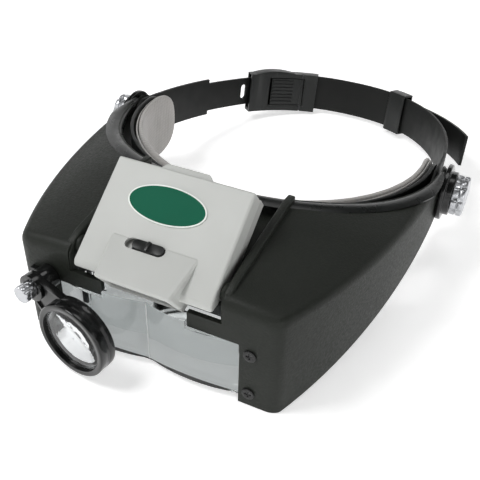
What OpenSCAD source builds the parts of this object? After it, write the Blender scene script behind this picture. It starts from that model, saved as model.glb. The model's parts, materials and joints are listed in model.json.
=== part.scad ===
// Head visor magnifier: a visor with a binocular lens, a lamp on top and a
// swing-out loupe, tilting on an adjustable headband. Millimetres, +Z up.
// X = 0 is the plane of symmetry, the front faces -Y, the temple pivots lie at
// Y = 0 and Z = 0 is the surface that the visor stands on.

/* [Headband] */
// Height of the temple pivots above the resting surface
pivot_z = 37.6; // [37.4:0.1:38]
// Slope of the strap, down towards the back, in degrees
band_tilt = 10.3; // [10:0.1:10.4]
// Half width of the strap loop
strap_a = 84.2; // [84:0.1:84.4]
// Reach of the strap loop behind the pivots
strap_b = 134; // [130:0.5:136]
// Height of the wide strap
strap_h = 23; // [22:0.5:24]
// Height of the narrow tongue of the strap
tongue_h = 18; // [16:0.5:19]
// Thickness of the straps
strap_t = 1.6; // [1.4:0.1:1.8]
// Height of the brow pad
pad_h = 36; // [34:0.5:37]

/* [Visor] */
// Half width of the visor at the temples
visor_a = 88.8; // [88.6:0.1:89]
// Distance from the pivots to the front face
front_y = 138; // [137.5:0.1:138.5]
// Wall thickness of the visor
wall = 2.2; // [2:0.1:2.4]
// Height of the roof at its front edge
roof_front = 52; // [51:0.5:53]
// Height of the roof at its rear lip
roof_back = 60.5; // [60:0.5:61]
// Half width of the viewing window
window_a = 43; // [42:0.5:43.5]

/* [Lamp] */
// Slope of the lamp box, in degrees
lamp_slope = 37.7; // [36:0.1:38]
// Width of the lamp box
lamp_w = 63; // [62.6:0.1:63]
// Wall thickness of the lamp box
skin = 1.3; // [1.2:0.05:1.35]

/* [Loupe] */
// Outer radius of the loupe ring
loupe_r = 17.5; // [17:0.1:18]

/* [Hidden] */
$fn = 48;
// running clearance between a pin and its bore
run = 0.06;
strap_n = 2.19;              // exponent of the strap's superellipse
temple_r = 12.1;             // round front ends of the straps
shoulder_t = 26;             // where the left strap narrows
buckle_t0 = 44.5;            // buckle, along the loop
buckle_t1 = 75;
buckle_off = [-3, 4.4];      // inner and outer face, off the loop
buckle_z = [-13.6, 12.2];
buckle_top = 13.8;           // crown of the arched end
arch_t = 21;                 // length of the arched end
arch_r = 70;
channel_off = [-1.1, 3.2];   // way for the straps through the buckle
channel_a = 11.8;
keeper_t0 = 108;             // keeper, along the loop
keeper_t1 = 117;
keeper_off = [-2.7, 5.6];
keeper_z = [-13.2, 12.9];
keeper_wall = 1.1;
lap = 2.2;                   // how far the tongue lies outside the other strap
tail_r = 107;                // bend of the free tail
tail_from = 60;
tail_to = 24;
slot_t = [42, 49.5, 57, 83, 91, 99];
peg_t = 57;                  // strap slot that the buckle's peg sits in
lever_t0 = 54;
lever_t1 = 68;
lever_off = -2.4;            // hinge of the lever, inside the loop
lever_pin_r = 0.75;
brow_a = 82.6;               // outside of the brow band
brow_b = 70;
brow_t = 1.8;
brow_h = 32;
brow_z = pivot_z - 4;
pad_z = pivot_z - 5.6;
pad_a = 79.5;                // outside of the brow pad
pad_b = 67.9;
pad_t = 3.2;                 // the pad at the temples
pad_front_t = 6.2;
pad_end_y = 2;               // the pad's oval ends
pad_end_r = 18.6;
bolt_r = 3;
bolt_head_x = [79.6, 80.4];  // between the pad and the band
bolt_head_r = 6;
bolt_end = 99.2;
washer_x = [89.1, 91.5, 94.6];
washer_r = [14, 11];
knob_x = 95;
knob_r = 10;
knob_d = 6;
ear_r = 13;
visor_b = 186;               // long half axis of the visor's side curve
corner = [55.2, -130];       // centre of the visor's front corner
corner_r = 8;
lip_b = 79;                  // reach of the roof's rear lip
foot_y = 135.6;              // back end of the flat feet
window_z = 32;
ledge_z = 39.5;              // ledge under the front of the lamp box
notch_a = 20;                // half width of the notch for the lamp
bay_a = 34.2;                // half width of the bay for the lamp box
bay_wall = 2.2;
bay_rise = tan(15.6);        // slope of the bay's floor behind the ledge
bay_bend = -126;
lamp_y = -130;               // hinge of the lamp box
lamp_z = 48.5;
pin_r = 1.5;
lens_y = -135.6;             // front of the flat lens flange
flip_y = -124.2;             // hinge of the inner lens
flip_z = 33.5;
lens_r = 80;                 // bulge of the four lens halves
lens_front = -139.2;
lens_tops = [[42.6, 3, 31.6], [19.4, 31, 35]];   // half width, foot and top of the bulge
ear_x = 40.6;                // outside of the inner lens's ears
screw_x = 47.6;
screw_z = [7, 28.2];
box_a = lamp_w / 2;
box_top = 5;                 // lamp box, measured from its hinge
box_low = -8.2;
box_back = 40;
split = -3;
wedge_y = 8.5;
wedge_front = -12;
wedge_rise = 5.8;
wedge_slope = atan(wedge_rise / (wedge_y - wedge_front));
door_y = 17.5;
door_a = 29.8;
cell_r = 5.2;
cell_z = -1.6;
cell_y = [22.8, 33.3];
slide_x0 = -9;
slide_x1 = 5.3;
loupe_at = [-46.5, -145.3, 34];
loupe_yaw = -8;
ring_at = [23.2, -14.7];     // ring centre, from the loupe's pivot
ring_d = 8;
loupe_pin = 1.5;
glass_r = 15.2;
glass_y = -4;                // rear crown of the glass
glass_t = 3.9;
glass_bulge = 145;
seat_r = 15.4;               // bore from the rear, up to the shoulder
seat_y = -6.4;
eye_r = 14.9;                // opening in front of the glass
arm_t = 1.8;
rib_t = 3.2;
loupe_knob_y = -5.2;
loupe_knob_r = 4;
loupe_knob_d = 4.8;
loupe_bolt_y = [-8.1, 6.5];

// ---- shared shapes ----

// puts children into the tilted frame of the strap loop
module in_band_frame() translate([0, 0, pivot_z]) rotate([-band_tilt, 0, 0]) children();

// puts children into the lamp's frame, with its hinge along X at the origin
module in_lamp_frame() translate([0, lamp_y, lamp_z]) rotate([lamp_slope, 0, 0]) children();

// frame of the lamp cover's raised top: x, then forwards as -y, then up
module in_switch_frame()
    in_lamp_frame() translate([0, wedge_y, box_top]) rotate([-wedge_slope, 0, 0]) children();

// frame of the loupe, with its pivot along Y at the origin
module in_loupe_frame() translate(loupe_at) rotate([0, 0, loupe_yaw]) children();

// block from one corner to the other
module block(low, high) translate(low) cube(high - low);

// side view outline of [y, z] points, drawn out from x0 to x1
module side_cut(x0, x1, points)
    translate([x0, 0, 0]) rotate([90, 0, 90]) linear_extrude(x1 - x0) polygon(points);

// round bar along X from x0 to x1
module bar_x(x0, x1, y, z, r) translate([x0, y, z]) rotate([0, 90, 0]) cylinder(x1 - x0, r, r);

// round bar along Y from y0 to y1
module bar_y(y0, y1, x, z, r) translate([x, y1, z]) rotate([90, 0, 0]) cylinder(y1 - y0, r, r);

module both_sides() {
    children();
    mirror([1, 0, 0]) children();
}

// outline with round ends at x0 and x1, centred on y
function stadium(x0, x1, y, r) = concat(
    [for (g = [90:15:270]) [x0 + r * cos(g), y + r * sin(g)]],
    [for (g = [-90:15:90]) [x1 + r * cos(g), y + r * sin(g)]]);

// point of the strap loop: t = 0 left temple, 90 back of the head, 180 right temple
function power(v) = sign(v) * pow(abs(v), 2 / strap_n);
function loop_pt(t, off) = [-(strap_a + off) * power(cos(t)), (strap_b + off) * power(sin(t))];
function loop_dir(t) = let (d = loop_pt(t + 1, 0) - loop_pt(t - 1, 0)) atan2(d[1], d[0]);
function steps(t0, t1, n) = [for (i = [0:n]) t0 + (t1 - t0) * i / n];
function reversed(list) = [for (i = [len(list) - 1:-1:0]) list[i]];

// curved slab that follows the strap loop between two offsets
module loop_slab(t0, t1, off0, off1, z0, z1, n = 12)
    translate([0, 0, z0]) linear_extrude(z1 - z0) polygon(concat(
        [for (t = steps(t0, t1, n)) loop_pt(t, off1)],
        [for (t = steps(t1, t0, n)) loop_pt(t, off0)]));

// places children on the strap loop, x along it and y towards its inside
module on_loop(t, off = 0) translate(loop_pt(t, off)) rotate(loop_dir(t)) children();

// how far outside the loop the left strap runs at t
function lap_at(t) = lap * min(1, max(0, (t - 35) / 15));
function tail_start() = loop_pt(keeper_t1 + 1, lap + strap_t / 2);
function tail_pt(g, off) =
    tail_start() - tail_r * [cos(tail_from), sin(tail_from)] + (tail_r + off) * [cos(g), sin(g)];

// ellipse arc across the front of the head, plus straight ends behind the temples
function brow_line(a, b, back) = concat([[-a, back]],
    [for (q = steps(180, 360, 36)) [a * cos(q), b * sin(q)]], [[a, back]]);

module brow_slab(a, b, t, front_t, z0, z1, back)
    translate([0, 0, z0]) linear_extrude(z1 - z0)
        polygon(concat(brow_line(a, b, back), reversed(brow_line(a - t, b - front_t, back))));

// ---- headband ----

module brow_band() color("#1b1c1b") difference() {
    union() {
        brow_slab(brow_a, brow_b, brow_t, brow_t, brow_z - brow_h / 2, brow_z + brow_h / 2, 0);
        intersection() {
            brow_slab(brow_a, brow_b, brow_t, brow_t, brow_z - brow_h / 2,
                brow_z + brow_h / 2, brow_h / 2);
            bar_x(-90, 90, 0, brow_z, brow_h / 2);
        }
    }
    bar_x(-90, 90, 0, pivot_z, bolt_r + run);
}

module pad_slab(back)
    brow_slab(pad_a, pad_b, pad_t, pad_front_t, pad_z - pad_h / 2, pad_z + pad_h / 2, back);

module brow_pad() color("#a9a8a4") union() {
    pad_slab(0);
    intersection() {
        pad_slab(pad_end_y + pad_end_r + 1);
        side_cut(-90, 90, concat([[-9, pad_z - pad_h / 2]],
            [for (g = steps(-90, 90, 16))
                [pad_end_y + pad_end_r * cos(g), pad_z + pad_h / 2 * sin(g)]],
            [[-9, pad_z + pad_h / 2]]));
    }
}

// what rounds the front ends of both straps
module strap_corners() difference() {
    block([-90, -20, -20], [90, 0.5, 20]);
    bar_x(-91, 91, 0, 0, temple_r);
}

module strap_right() color("#1d1e1d") in_band_frame() difference() {
    translate([0, 0, -strap_h / 2]) linear_extrude(strap_h) polygon(concat(
        [[strap_a + strap_t / 2, -temple_r - 1]],
        [for (t = steps(180, 73, 28)) loop_pt(t, strap_t / 2)],
        [for (t = steps(73, 180, 28)) loop_pt(t, -strap_t / 2)],
        [[strap_a - strap_t / 2, -temple_r - 1]]));
    strap_corners();
    bar_x(60, 100, 0, 0, bolt_r + run);
}

module strap_left() color("#1d1e1d") in_band_frame() difference() {
    union() {
        translate([0, 0, -strap_h / 2]) linear_extrude(strap_h) polygon(concat(
            [[-strap_a - strap_t / 2, -temple_r - 1]],
            [for (t = steps(0, shoulder_t, 8)) loop_pt(t, strap_t / 2)],
            [for (t = steps(shoulder_t, 0, 8)) loop_pt(t, -strap_t / 2)],
            [[-strap_a + strap_t / 2, -temple_r - 1]]));
        translate([0, 0, -tongue_h / 2]) linear_extrude(tongue_h) polygon(concat(
            [for (t = steps(shoulder_t - 1, keeper_t1 + 1, 32)) loop_pt(t, lap_at(t) + strap_t / 2)],
            [for (g = steps(tail_from, tail_to, 8)) tail_pt(g, strap_t / 2)],
            [for (g = steps(tail_to, tail_from, 8)) tail_pt(g, -strap_t / 2)],
            [for (t = steps(keeper_t1 + 1, shoulder_t - 1, 32)) loop_pt(t, lap_at(t) - strap_t / 2)]));
    }
    strap_corners();
    bar_x(-100, -60, 0, 0, bolt_r + run);
    for (t = slot_t) on_loop(t) bar_slot();
}

// upright slot with round ends, cut across a strap
module bar_slot() rotate([90, 90, 0]) translate([0, 0, -8]) linear_extrude(16)
    polygon(stadium(-2.7, 2.7, 0, 2.2));

// buckle: a curved sleeve that the two straps pass through
module buckle_body() color("#191a19") in_band_frame() difference() {
    union() {
        loop_slab(buckle_t0, buckle_t1, buckle_off[0], buckle_off[1], buckle_z[0], buckle_z[1], 10);
        intersection() {
            loop_slab(buckle_t0, buckle_t0 + arch_t, buckle_off[0], buckle_off[1],
                buckle_z[1] - 0.2, buckle_top, 8);
            on_loop(buckle_t0 + arch_t / 2) bar_y(-12, 12, 0, buckle_top - arch_r, arch_r);
        }
    }
    loop_slab(buckle_t0 - 1, buckle_t1 + 1, channel_off[0], channel_off[1], -channel_a, channel_a, 10);
    // recess and opening for the lever on the inside
    loop_slab(lever_t0 - 1, lever_t1 + 1.1, -4, -0.9, -9.4, 9.4, 6);
    on_loop(lever_t1, lever_off) translate([0, 0, -14.2])
        cylinder(28, lever_pin_r + 0.05, lever_pin_r + 0.05);
}

module buckle_pin() color("#8d9093") in_band_frame()
    on_loop(lever_t1, lever_off) translate([0, 0, -13]) cylinder(25, lever_pin_r, lever_pin_r);

// ribbed lever whose peg holds a slot of the strap
module buckle_lever() color("#191a19") in_band_frame() difference() {
    union() {
        loop_slab(lever_t0, lever_t1 - 0.6, -3.3, -1.7, -9, 9, 6);
        on_loop(lever_t1, lever_off) translate([0, 0, -8.8]) cylinder(17.6, 1.4, 1.4);
        for (i = [-3:3])
            loop_slab(lever_t0 + 0.4, lever_t1 - 4, -4, -3, i * 2.4 - 0.5, i * 2.4 + 0.5, 4);
        on_loop(peg_t) block([-1.6, -2.7, -3.4], [1.6, 2.4, 3.4]);
    }
    on_loop(lever_t1, lever_off) translate([0, 0, -10])
        cylinder(20, lever_pin_r + run, lever_pin_r + run);
}

module strap_keeper() color("#191a19") in_band_frame() difference() {
    loop_slab(keeper_t0, keeper_t1, keeper_off[0], keeper_off[1], keeper_z[0], keeper_z[1], 6);
    loop_slab(keeper_t0 - 1, keeper_t1 + 1, keeper_off[0] + keeper_wall, keeper_off[1] - keeper_wall,
        keeper_z[0] + keeper_wall, keeper_z[1] - keeper_wall, 6);
}

// temple bolts with flat heads under the pad
module temple_bolts() color("#c9ccd0") both_sides() {
    bar_x(bolt_head_x[0], bolt_head_x[1], 0, pivot_z, bolt_head_r);
    bar_x(bolt_head_x[1] - 0.1, bolt_end, 0, pivot_z, bolt_r);
}

// stepped washers between the visor's ears and the knobs
module temple_washers() color("#141514") both_sides() difference() {
    union() {
        bar_x(washer_x[0], washer_x[1], 0, pivot_z, washer_r[0]);
        bar_x(washer_x[1] - 0.1, washer_x[2], 0, pivot_z, washer_r[1]);
    }
    bar_x(88, 96, 0, pivot_z, bolt_r + run);
}

// fluted knob along +Z, with a blind bore from its foot
module fluted_knob(r, depth, hole, flutes) difference() {
    union() {
        cylinder(depth - 1, r, r);
        translate([0, 0, depth - 1.01]) cylinder(1, r, r - 1);
    }
    for (i = [0:flutes - 1]) rotate(i * 360 / flutes)
        translate([r + r * 0.1, 0, -1]) cylinder(depth + 2, r * 0.2, r * 0.2);
    translate([0, 0, -1]) cylinder(depth - 0.5, hole, hole);
}

module temple_knob(side) translate([side * knob_x, 0, pivot_z]) rotate([0, side * 90, 0])
    fluted_knob(knob_r, knob_d, bolt_r + run, 12);

module temple_knob_left() color("#d8dadc") temple_knob(-1);

module temple_knob_right() color("#d8dadc") temple_knob(1);

// ---- visor ----

// half of the visor's outline in plan, set in from the outside
function half_plan(inset) = concat(
    [for (g = steps(-90, -26, 6)) corner + (corner_r - inset) * [cos(g), sin(g)]],
    [for (y = steps(-132, 16, 15)) [(visor_a - inset) * sqrt(1 - pow(y / (visor_b - inset), 2)), y]]);

module plan_prism(inset, z0, z1) translate([0, 0, z0]) linear_extrude(z1 - z0)
    polygon(concat(half_plan(inset), [for (p = reversed(half_plan(inset))) [-p[0], p[1]]]));

// crowned roof, as a section across the visor, lowered by drop
module roof_prism(drop) translate([0, 40, 0]) rotate([90, 0, 0]) linear_extrude(200)
    polygon(concat([[90, -20]],
        [for (x = steps(90, -90, 24)) [x, roof_back - drop - 10 * pow(x / 88, 2)]], [[-90, -20]]));

function roof_line(drop) = [[8, pivot_z + ear_r - drop], [-8, pivot_z + ear_r + 1 - drop],
    [-30, 56.5 - drop], [-60, roof_back - 0.6 - drop], [-lip_b, roof_back - drop],
    [-front_y - 1, roof_front - drop]];

module visor_outside() intersection() {
    plan_prism(0, -1, 70);
    roof_prism(0);
    union() {
        side_cut(-95, 95, concat([[-front_y - 1, 0], [-foot_y, 0],
            [-ear_r * 0.2, pivot_z - ear_r * 0.98], [0, pivot_z]],
            [for (p = roof_line(0)) if (p[0] < 0) p]));
        bar_x(-95, 95, 0, pivot_z, ear_r);
    }
}

module visor_inside() intersection() {
    plan_prism(wall, -2, 70);
    roof_prism(wall);
    side_cut(-95, 95, concat([[-front_y - 1, -2], [20, -2]], [[20, pivot_z + ear_r - wall]],
        roof_line(wall)));
}

// space inside the roof's rear lip, for the brow
module brow_space() translate([0, 0, 38]) linear_extrude(30) polygon(concat([[-86.5, 30]],
    [for (q = steps(180, 360, 36)) [86.5 * cos(q), lip_b * sin(q)]], [[86.5, 30]]));

bay_floor = [[-front_y - 3, ledge_z], [bay_bend, ledge_z], [-60, ledge_z + (-60 - bay_bend) * bay_rise]];

// space for the lamp box in the roof
module lamp_bay() side_cut(-bay_a, bay_a, concat(bay_floor, [[-60, 90], [-front_y - 3, 90]]));

module bay_shell() side_cut(-bay_a - bay_wall, bay_a + bay_wall, [[-front_y + 1, ledge_z - 2],
    [bay_bend, ledge_z - 2], [-74, ledge_z - 2 + (-74 - bay_bend) * bay_rise], [-74, roof_back + 1.2],
    [-front_y + 1, roof_front + 1.2]]);

module visor_shell() color("#232524") difference() {
    union() {
        difference() {
            union() {
                difference() {
                    visor_outside();
                    visor_inside();
                    brow_space();
                }
                intersection() {
                    bay_shell();
                    plan_prism(1, 0, 80);
                }
            }
            lamp_bay();
        }
        // bosses beside the lamp box
        both_sides() bar_x(box_a + 0.35, bay_a + 1, lamp_y, lamp_z, 4.2);
        both_sides() {
            // ears that carry the inner lens
            block([bay_a + 1.5, -129, 41], [ear_x, -119.4, 52]);
            block([ear_x - 2.6, -129, flip_z - 4], [ear_x, -119.4, 42]);
            bar_x(ear_x - 2.6, ear_x, flip_y, flip_z, 4.8);
        }
    }
    block([-window_a, -front_y - 2, -1], [window_a, -front_y + wall + 0.01, window_z]);
    block([-notch_a, -front_y - 2, window_z - 1], [notch_a, -128, 60]);
    bar_x(-100, 100, 0, pivot_z, bolt_r + run);
    bar_x(-45, 45, flip_y, flip_z, pin_r + run);
    bar_x(-bay_a - 4.3, bay_a + 4.3, lamp_y, lamp_z, pin_r);
    for (x = [-screw_x, screw_x], z = screw_z) bar_y(-front_y - 1, -front_y + 5, x, z, 1.25);
}

// pins that the lamp box tilts on
module lamp_hinge_pins() color("#d0d3d6") both_sides()
    bar_x(box_a - skin, bay_a + 4, lamp_y, lamp_z, pin_r - 0.01);

// two lens halves that meet at the seam, on one flat flange
module main_lens() color("#dfe8ea", 0.35) difference() {
    union() {
        block([-53, lens_y, 1.5], [53, lens_y + 2.4, 31.3]);
        block([-window_a + 0.4, lens_y, 30], [window_a - 0.4, lens_y + 2.4, 35]);
        both_sides() for (part = lens_tops) intersection() {
            translate([window_a / 2, lens_front + lens_r, 0]) cylinder(40, lens_r, lens_r, $fn = 360);
            block([0.01, lens_front - 2, part[1]], [part[0], lens_y + 0.5, part[2]]);
        }
    }
    for (x = [-screw_x, screw_x], z = screw_z) bar_y(-front_y - 1, -130, x, z, 1.25);
}

module lens_screws() color("#151515") for (x = [-screw_x, screw_x], z = screw_z) difference() {
    union() {
        bar_y(-front_y - 0.8, -front_y - 0.01, x, z, 2.7);
        bar_y(-front_y - 0.1, -133.6, x, z, 1.2);
    }
    for (g = [0, 90]) translate([x, -front_y - 0.8, z]) rotate([0, g, 0])
        cube([3, 1, 0.7], center = true);
}

// hanging frame of the flip-up inner lens
module inner_lens_carrier() color("#1a1b1a") difference() {
    union() {
        block([-37.2, -125.6, 30.4], [37.2, -122.8, 35.6]);
        both_sides() {
            block([35.2, -125.6, 14], [37.2, -122.8, 30.5]);
            bar_x(37, 40.4, flip_y, flip_z, pin_r);
        }
    }
    block([-35.2, -124.9, 20], [35.2, -123.5, 31.6]);
}

module inner_lens() color("#dfe8ea", 0.35) union() {
    block([-35, -124.8, 5], [35, -123.6, 31.4]);
    both_sides() intersection() {
        translate([17.5, -126.4 + lens_r, 0]) cylinder(40, lens_r, lens_r, $fn = 360);
        block([0.01, -128, 5], [35, -124.5, 29.8]);
    }
}

// ---- loupe ----

// bracket on the visor's front that holds the loupe's pivot
module loupe_bracket() color("#171817") difference() {
    union() {
        block([-54.5, -front_y - 2.4, 18], [-43.6, -front_y - 0.05, 36]);
        in_loupe_frame() bar_y(0.4, 7, 0, 0, 5.4);
        block([-47.4, -front_y - 6, 19], [-45.6, -front_y - 2.3, 33]);
        block([-51.5, -front_y - 6.2, 31.6], [-41.5, -front_y - 2.3, 36.4]);
        for (z = [22, 26]) block([-51, -front_y - 3.2, z], [-47, -front_y - 2.3, z + 1.2]);
    }
    block([-70, -front_y - 0.05, 0], [-30, -front_y + 10, 60]);
    in_loupe_frame() bar_y(-1, 12, 0, 0, loupe_pin);
    bar_y(-front_y - 7, -front_y, -screw_x, screw_z[1], 3.1);
}

module loupe_bolt() color("#c9ccd0") in_loupe_frame()
    bar_y(loupe_bolt_y[0], loupe_bolt_y[1], 0, 0, loupe_pin - 0.01);

// arm and ring in one moulding
module loupe_arm() color("#151615") in_loupe_frame() {
    u = ring_at / norm(ring_at);
    n = [-u[1], u[0]];
    difference() {
        union() {
            bar_y(-4.4, 0, 0, 0, 6.2);
            translate([0, -0.6, 0]) rotate([90, 0, 0]) linear_extrude(arm_t)
                polygon([n * 6.1, ring_at + n * 14, ring_at - n * 14, -n * 6.1]);
            for (k = [-1, 1]) rotate([90, 0, 0]) linear_extrude(rib_t)
                polygon([k * n * 6.1, ring_at + k * n * 14, ring_at + k * n * 12.8, k * n * 4.9]);
            translate([ring_at[0], 0, ring_at[1]]) rotate([90, 0, 0]) rotate_extrude()
                polygon([[14, 0], [loupe_r, 0], [loupe_r, ring_d - 1.4], [loupe_r - 0.5, ring_d],
                    [14, ring_d]]);
        }
        bar_y(seat_y, 1, ring_at[0], ring_at[1], seat_r);
        bar_y(-ring_d - 2, 1, ring_at[0], ring_at[1], eye_r);
        bar_y(-6, 2, 0, 0, loupe_pin + run);
    }
}

// biconvex glass, seated on the ring's shoulder
module loupe_lens() color("#e6edee", 0.35) in_loupe_frame()
    translate([ring_at[0], glass_y, ring_at[1]]) rotate([90, 0, 0]) rotate_extrude()
        polygon(concat([for (x = steps(0, glass_r, 8)) [x, pow(x, 2) / glass_bulge]],
            [for (x = steps(glass_r, 0, 8)) [x, glass_t - pow(x, 2) / glass_bulge]]));

// ring pressed in behind the glass
module loupe_retainer() color("#101110") in_loupe_frame() difference() {
    bar_y(-5.2, -1.2, ring_at[0], ring_at[1], seat_r - 0.1);
    bar_y(-6, 0, ring_at[0], ring_at[1], 14);
}

module loupe_washer() color("#b9bcc0") in_loupe_frame() difference() {
    bar_y(-5.1, -4.45, 0, 0, 3.4);
    bar_y(-6, -4, 0, 0, loupe_pin + run);
}

module loupe_knob() color("#d8dadc") in_loupe_frame() translate([0, loupe_knob_y, 0])
    rotate([90, 0, 0]) fluted_knob(loupe_knob_r, loupe_knob_d, loupe_pin + run, 10);

// ---- lamp ----

box_side = [[box_back, box_low], [4, box_low], [0, -4], [-6, -1], [-9.4, 1.5], [-9.6, 3.8],
    [-8.4, box_top], [box_back, box_top]];
box_room = [[box_back - skin, box_low + skin], [4.6, box_low + skin], [0.9, -2.9], [-5.5, 0.3],
    [-8.2, 2.2], [-8.2, box_top - skin], [box_back - skin, box_top - skin]];

// raised lamp cover, tapering towards the front, made smaller by s
module wedge(s) intersection() {
    side_cut(-25, 25, [[wedge_y - s / 6, box_top - s * 1.04],
        [wedge_front + s, box_top + wedge_rise - s * 1.3],
        [wedge_front + s, -6.4 + s], [-3 - s, -6.4 + s], [wedge_y - s / 6, 2]]);
    translate([0, 0, -10]) linear_extrude(30) polygon([[20.3 - s, wedge_y], [17.2 - s, wedge_front],
        [-17.2 + s, wedge_front], [-20.3 + s, wedge_y]]);
}

module lamp_case() {
    difference() {
        union() {
            side_cut(-box_a, box_a, box_side);
            wedge(0);
        }
        side_cut(-box_a + skin, box_a - skin, box_room);
        wedge(skin);
        // open mouth of the lamp
        block([-15.6, wedge_front - 1, -5], [15.6, wedge_front + 3, box_top + wedge_rise - skin - 0.6]);
        // opening for the battery door
        block([-door_a - 0.2, door_y - 0.2, box_low - 1],
            [door_a + 0.2, box_back + 1, box_low + skin + 0.1]);
        block([-door_a - 0.2, box_back - skin - 0.1, box_low - 1], [door_a + 0.2, box_back + 1, 3.75]);
    }
}

module screw_post(r, z0, z1) for (x = [-26.5, 26.5]) translate([x, 8.5, z0]) cylinder(z1 - z0, r, r);

module lamp_upper_case() color("#c6c7c4") difference() {
    union() {
        in_lamp_frame() intersection() {
            lamp_case();
            block([-40, -20, split], [40, 60, 20]);
        }
        in_lamp_frame() screw_post(2.4, split, box_top - skin + 0.1);
    }
    in_lamp_frame() bar_x(-40, 40, 0, 0, pin_r + run);
    in_lamp_frame() screw_post(1, split - 1, 2.5);
    in_switch_frame() translate([0, 0, -4]) linear_extrude(8)
        polygon(stadium(slide_x0 - 1, slide_x1 - 2.2, -2.7, 2.5));
}

module lamp_lower_case() color("#b9bab7") in_lamp_frame() difference() {
    union() {
        intersection() {
            lamp_case();
            block([-40, -20, -20], [40, 60, split - 0.02]);
        }
        screw_post(3, box_low + 0.1, split - 0.02);
    }
    screw_post(1.15, box_low - 1, split + 1);
    screw_post(2.4, box_low - 1, box_low + 1.4);
    bar_x(-40, 40, 0, 0, pin_r + run + 0.5);
}

// sliding door: rear wall, floor and a thumb tab
module battery_door() color("#c0c1be") in_lamp_frame() union() {
    block([-door_a, door_y, box_low], [door_a, box_back, box_low + skin]);
    block([-door_a, box_back - skin, box_low], [door_a, box_back, 3.6]);
    translate([0, 0, 2]) linear_extrude(1.6) polygon([[-12.4, box_back - 0.1], [-9.6, box_back + 2.6],
        [9.6, box_back + 2.6], [12.4, box_back - 0.1]]);
}

module aaa_cells() color("#3d6f9e") in_lamp_frame() for (i = [0, 1]) {
    flip = 1 - 2 * i;
    translate([0, cell_y[i], cell_z]) rotate([0, flip * 90, 0]) {
        translate([0, 0, -22]) cylinder(43.2, cell_r, cell_r);
        translate([0, 0, 21]) cylinder(1.2, 1.9, 1.9);
    }
}

// coil springs on the cells' flat ends
module battery_springs() color("#d6d9dc") in_lamp_frame() for (i = [0, 1]) {
    flip = 1 - 2 * i;
    translate([0, cell_y[i], cell_z]) rotate([0, flip * 90, 0])
        for (k = [0:7]) translate([0, 0, -22.5 - k * 0.85])
            rotate_extrude() translate([1.6 + k * 0.28, 0]) circle(0.48, $fn = 16);
}

module battery_plates() color("#cfd2d4") in_lamp_frame() for (i = [0, 1], side = [-1, 1])
    translate([0, cell_y[i], cell_z]) {
        flip = 1 - 2 * i;
        if (side == flip) bar_x(min(side * 22.3, side * 29.9), max(side * 22.3, side * 29.9), 0, 0, 1.5);
        block([min(side * 28.98, side * 29.9), -4.6, -4.6], [max(side * 28.98, side * 29.9), 4.6, 4.6]);
    }

module circuit_board() color("#2f6b45") in_lamp_frame() difference() {
    block([-23, 3.4, -4.9], [23, 16.4, -3.7]);
    for (x = [-19, 19]) translate([x, 8.5, -6]) cylinder(4, 1.2, 1.2);
}

module switch_body() color("#6d7072") in_switch_frame()
    block([slide_x0 - 0.5, -5.6, -7.6], [slide_x1 - 1.5, 0.2, -2.4]);

// switch slider with a grip rib, captive under the cover
module switch_slider() color("#151515") in_switch_frame() union() {
    translate([0, 0, -1.8]) linear_extrude(2.7)
        polygon(stadium(slide_x0 + 2.2, slide_x1 - 2.2, -2.7, 2.2));
    block([slide_x0 / 2 + slide_x1 / 2 - 0.7, -4.9, 0.8], [slide_x0 / 2 + slide_x1 / 2 + 0.7, -0.5, 1.7]);
    block([slide_x0 - 0.2, -5.6, -2.2], [slide_x1 + 0.2, 0.2, -1.6]);
}

module lamp_leds() color("#f4f5f2") in_lamp_frame() for (x = [-7.6, 7.6]) {
    bar_y(-7.2, -1, x, 1.4, 2.5);
    translate([x, -7.2, 1.4]) sphere(2.5);
    bar_y(-1.9, -1, x, 1.4, 2.9);
}

// twin reflector cups
module lamp_reflector() color("#e2e4e6") in_lamp_frame() difference() {
    side_cut(-15.2, 15.2, [[-9.6, -4.9], [-4.6, -4.9], [-2, -2.7], [-2, 5.5], [-9.6, 7.2]]);
    for (x = [-7.6, 7.6]) {
        translate([x, -2.9, 1.4]) rotate([90, 0, 0]) cylinder(6.8, 3.1, 6.4);
        bar_y(-5, -1, x, 1.4, 3.1);
    }
}

module lamp_window() color("#eef4f6", 0.35) in_lamp_frame()
    block([-15.4, -11.3, -4.9], [15.4, -10.3, 8.6]);

function oval(a, b) = [for (g = [0:7.5:352.5]) [a * cos(g), b * sin(g)]];

module label_plate() color("#1f6b52") in_lamp_frame() translate([-1.8, 24.7, box_top])
    linear_extrude(0.4) polygon(oval(17.6, 8));

module case_screws() color("#9a9da0") in_lamp_frame() {
    screw_post(2.2, box_low + 0.2, box_low + 1.35);
    screw_post(0.95, box_low + 1.3, 2.2);
}

brow_band();
brow_pad();
strap_left();
strap_right();
buckle_body();
buckle_pin();
buckle_lever();
strap_keeper();
temple_bolts();
temple_washers();
temple_knob_left();
temple_knob_right();
visor_shell();
main_lens();
lens_screws();
inner_lens_carrier();
inner_lens();
lamp_hinge_pins();
loupe_bracket();
loupe_bolt();
loupe_arm();
loupe_lens();
loupe_retainer();
loupe_washer();
loupe_knob();
lamp_upper_case();
lamp_lower_case();
battery_door();
aaa_cells();
battery_springs();
battery_plates();
circuit_board();
switch_body();
switch_slider();
lamp_leds();
lamp_reflector();
lamp_window();
label_plate();
case_screws();
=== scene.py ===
import json
import math

import bmesh
import bpy
from mathutils import Matrix, Vector


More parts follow.
